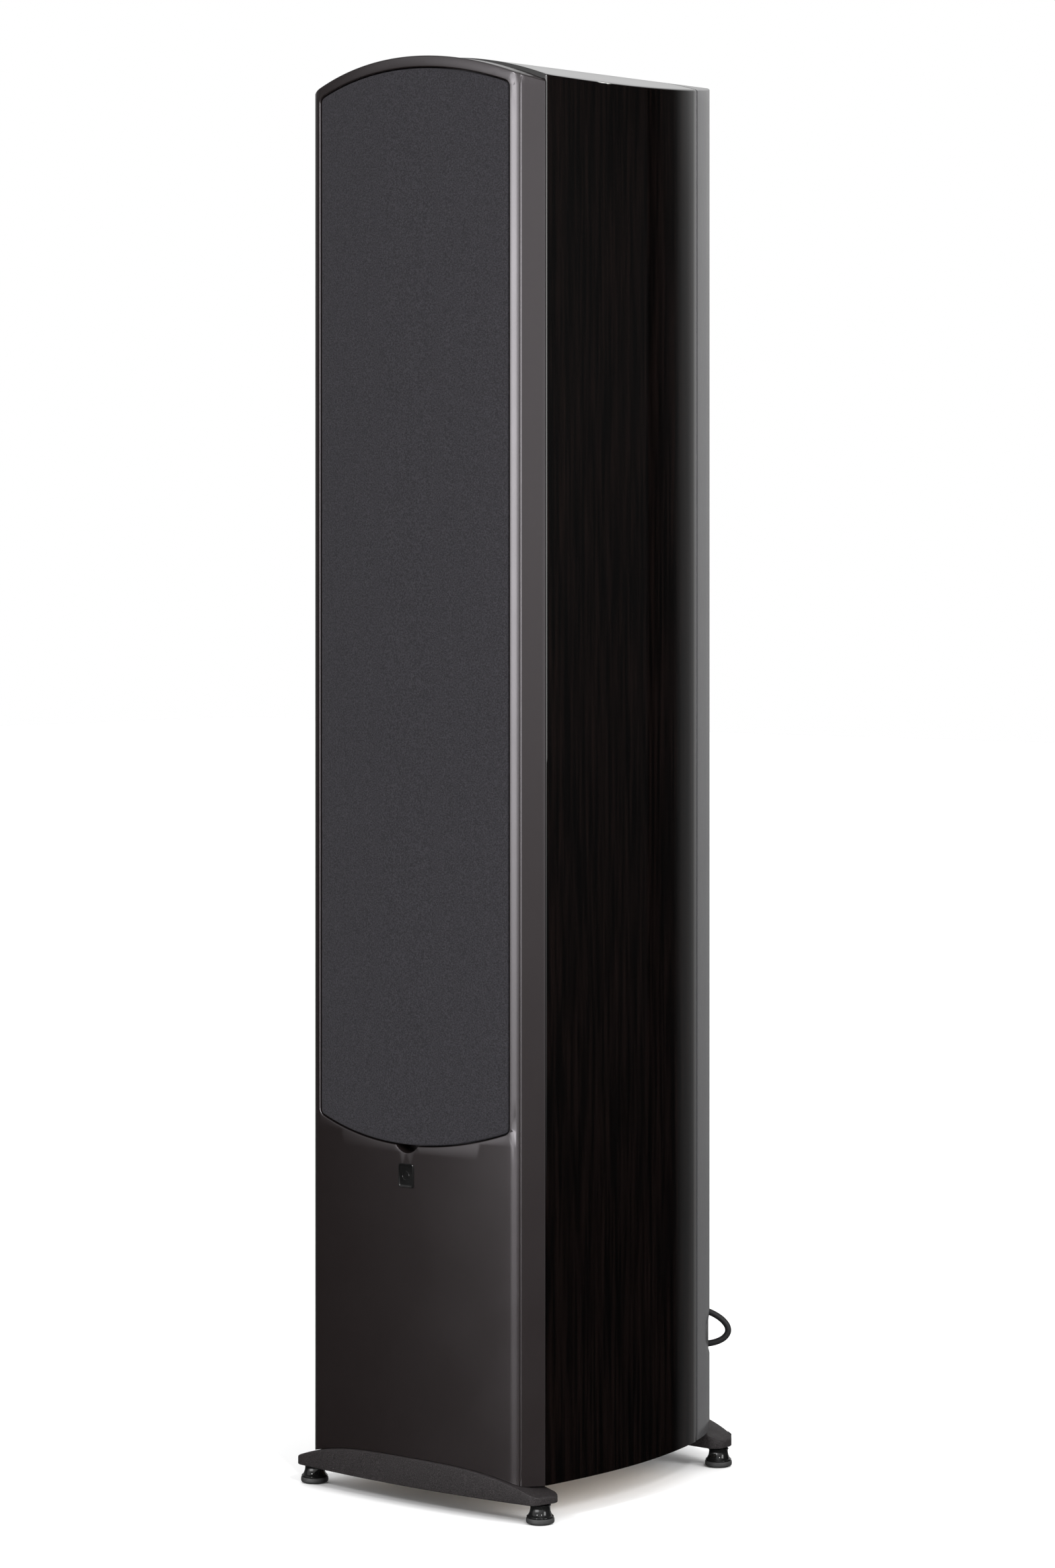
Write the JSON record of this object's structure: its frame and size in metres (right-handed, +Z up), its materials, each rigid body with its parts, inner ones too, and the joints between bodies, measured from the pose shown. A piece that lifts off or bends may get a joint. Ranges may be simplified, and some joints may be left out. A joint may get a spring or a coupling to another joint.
{
  "type": "floorstanding speaker",
  "caption": "Tall bowed loudspeaker cabinet with an arched top, cloth grille over stacked drivers, two outriggers on levelling feet and rear screw terminals.",
  "frame": {"origin": "on the floor under the middle of the depth and width", "axes": "+Z up, the front grille faces -Y, +X to the right of a person facing the grille"},
  "size_m": [0.2514, 0.3242, 1.1],
  "materials": {
    "lacquer": "deep piano-gloss lacquer over a dark stained veneer",
    "cabinet_board": "raw fibreboard",
    "rear_spine": "dark grey satin gloss",
    "satin_baffle": "fine satin charcoal lacquer",
    "powder_coat": "fine-textured charcoal powder coat on a cast bar",
    "black_gloss": "polished gloss black",
    "foot_rubber": "matte black",
    "moulded_black": "fine moulded black",
    "grille_board": "black moulded frame",
    "grille_cloth": "stretched charcoal knit speaker cloth",
    "driver_frame": "satin dark cast frame",
    "driver_plate": "satin black anodised",
    "surround_rubber": "smooth half-roll butyl",
    "cone_black": "woven-look pressed cone",
    "plug_aluminium": "turned, brushed",
    "dome_aluminium": "thin spun dome",
    "motor_black": "black sintered magnet and plated steel",
    "knob_gloss": "clear-topped black screw knob",
    "gold_plate": "gold-plated brass",
    "braided_sleeve": "tight black braided sleeve",
    "circuit_board": "green laminate",
    "copper_coil": "enamelled copper winding",
    "capacitor_sleeve": "shrink-sleeved film capacitor"
  },
  "bodies": {
    "cabinet": {"side_panel_left": "lacquer", "side_panel_right": "lacquer", "top_panel": "lacquer", "bottom_panel": "cabinet_board", "rear_panel": "rear_spine", "front_baffle": "satin_baffle", "brace_lower": "cabinet_board", "brace_upper": "cabinet_board", "badge": "black_gloss", "outrigger_front": "powder_coat", "outrigger_rear": "powder_coat", "terminal_cup": "moulded_black", "port_tube_lower": "moulded_black", "port_tube_upper": "moulded_black", "crossover_board": "circuit_board", "crossover_inductor": "copper_coil", "crossover_capacitor": "capacitor_sleeve", "jumper_left": "braided_sleeve", "jumper_right": "braided_sleeve", "tweeter_faceplate": "driver_plate", "tweeter_motor": "motor_black", "mid_upper_frame": "driver_frame", "mid_upper_surround": "surround_rubber", "mid_upper_phase_plug": "plug_aluminium", "mid_upper_motor": "motor_black", "mid_lower_frame": "driver_frame", "mid_lower_surround": "surround_rubber", "mid_lower_phase_plug": "plug_aluminium", "mid_lower_motor": "motor_black", "woofer_upper_frame": "driver_frame", "woofer_upper_surround": "surround_rubber", "woofer_upper_phase_plug": "plug_aluminium", "woofer_upper_motor": "motor_black", "woofer_lower_frame": "driver_frame", "woofer_lower_surround": "surround_rubber", "woofer_lower_phase_plug": "plug_aluminium", "woofer_lower_motor": "motor_black"},
    "grille": {"grille_frame": "grille_board", "grille_cloth": "grille_cloth"},
    "tweeter_dome": {"tweeter_dome": "dome_aluminium"},
    "mid_upper_cone": {"mid_upper_cone": "cone_black"},
    "mid_lower_cone": {"mid_lower_cone": "cone_black"},
    "woofer_upper_cone": {"woofer_upper_cone": "cone_black"},
    "woofer_lower_cone": {"woofer_lower_cone": "cone_black"},
    "foot_front_left": {"foot_bell_front_left": "black_gloss", "foot_pad_front_left": "foot_rubber"},
    "foot_front_right": {"foot_bell_front_right": "black_gloss", "foot_pad_front_right": "foot_rubber"},
    "foot_rear_left": {"foot_bell_rear_left": "black_gloss", "foot_pad_rear_left": "foot_rubber"},
    "foot_rear_right": {"foot_bell_rear_right": "black_gloss", "foot_pad_rear_right": "foot_rubber"},
    "post_washer_upper_left": {"post_washer_upper_left": "gold_plate"},
    "post_knob_upper_left": {"post_knob_upper_left": "knob_gloss"},
    "post_washer_upper_right": {"post_washer_upper_right": "gold_plate"},
    "post_knob_upper_right": {"post_knob_upper_right": "knob_gloss"},
    "post_washer_lower_left": {"post_washer_lower_left": "gold_plate"},
    "post_knob_lower_left": {"post_knob_lower_left": "knob_gloss"},
    "post_washer_lower_right": {"post_washer_lower_right": "gold_plate"},
    "post_knob_lower_right": {"post_knob_lower_right": "knob_gloss"}
  },
  "joints": [
    {"name": "grille_pull", "type": "slide", "parent": "cabinet", "child": "grille", "axis": [0, -1, 0], "range_m": [0, 0.06]},
    {"name": "mid_upper_excursion", "type": "slide", "parent": "cabinet", "child": "mid_upper_cone", "axis": [0, -1, 0], "range_m": [-0.002, 0.002], "stiffness_N_per_m": 700, "deforming": ["mid_upper_surround"]},
    {"name": "mid_lower_excursion", "type": "slide", "parent": "cabinet", "child": "mid_lower_cone", "axis": [0, -1, 0], "range_m": [-0.002, 0.002], "stiffness_N_per_m": 700, "deforming": ["mid_lower_surround"]},
    {"name": "woofer_upper_excursion", "type": "slide", "parent": "cabinet", "child": "woofer_upper_cone", "axis": [0, -1, 0], "range_m": [-0.004, 0.004], "stiffness_N_per_m": 1200, "deforming": ["woofer_upper_surround"]},
    {"name": "woofer_lower_excursion", "type": "slide", "parent": "cabinet", "child": "woofer_lower_cone", "axis": [0, -1, 0], "range_m": [-0.004, 0.004], "stiffness_N_per_m": 1200, "deforming": ["woofer_lower_surround"]},
    {"name": "tweeter_excursion", "type": "slide", "parent": "cabinet", "child": "tweeter_dome", "axis": [0, -1, 0], "range_m": [-0.0004, 0.0004], "stiffness_N_per_m": 80},
    {"name": "foot_front_left_turn", "type": "hinge", "parent": "cabinet", "child": "foot_front_left", "pos_m": [-0.115, -0.13975, 0.01], "axis": [0, 0, 1], "range_deg": [0, 1080]},
    {"name": "foot_front_right_turn", "type": "hinge", "parent": "cabinet", "child": "foot_front_right", "pos_m": [0.115, -0.13975, 0.01], "axis": [0, 0, 1], "range_deg": [0, 1080]},
    {"name": "foot_rear_left_turn", "type": "hinge", "parent": "cabinet", "child": "foot_rear_left", "pos_m": [-0.0862, 0.11255, 0.01], "axis": [0, 0, 1], "range_deg": [0, 1080]},
    {"name": "foot_rear_right_turn", "type": "hinge", "parent": "cabinet", "child": "foot_rear_right", "pos_m": [0.0862, 0.11255, 0.01], "axis": [0, 0, 1], "range_deg": [0, 1080]},
    {"name": "post_upper_left_travel", "type": "slide", "parent": "cabinet", "child": "post_washer_upper_left", "axis": [0, 1, 0], "range_m": [0, 0.004]},
    {"name": "post_upper_left_turn", "type": "hinge", "parent": "post_washer_upper_left", "child": "post_knob_upper_left", "pos_m": [-0.024, 0.14365, 0.118], "axis": [0, 1, 0], "range_deg": [0, 1441]},
    {"name": "post_upper_right_travel", "type": "slide", "parent": "cabinet", "child": "post_washer_upper_right", "axis": [0, 1, 0], "range_m": [0, 0.004]},
    {"name": "post_upper_right_turn", "type": "hinge", "parent": "post_washer_upper_right", "child": "post_knob_upper_right", "pos_m": [0.024, 0.14365, 0.118], "axis": [0, 1, 0], "range_deg": [0, 1441]},
    {"name": "post_lower_left_travel", "type": "slide", "parent": "cabinet", "child": "post_washer_lower_left", "axis": [0, 1, 0], "range_m": [0, 0.004]},
    {"name": "post_lower_left_turn", "type": "hinge", "parent": "post_washer_lower_left", "child": "post_knob_lower_left", "pos_m": [-0.024, 0.14365, 0.09], "axis": [0, 1, 0], "range_deg": [0, 1441]},
    {"name": "post_lower_right_travel", "type": "slide", "parent": "cabinet", "child": "post_washer_lower_right", "axis": [0, 1, 0], "range_m": [0, 0.004]},
    {"name": "post_lower_right_turn", "type": "hinge", "parent": "post_washer_lower_right", "child": "post_knob_lower_right", "pos_m": [0.024, 0.14365, 0.09], "axis": [0, 1, 0], "range_deg": [0, 1441]}
  ],
  "couplings": [
    {"joint": "post_upper_left_turn", "follows": "post_upper_left_travel", "rad_per_m": 6283.2},
    {"joint": "post_upper_right_turn", "follows": "post_upper_right_travel", "rad_per_m": 6283.2},
    {"joint": "post_lower_left_turn", "follows": "post_lower_left_travel", "rad_per_m": 6283.2},
    {"joint": "post_lower_right_turn", "follows": "post_lower_right_travel", "rad_per_m": 6283.2}
  ]
}
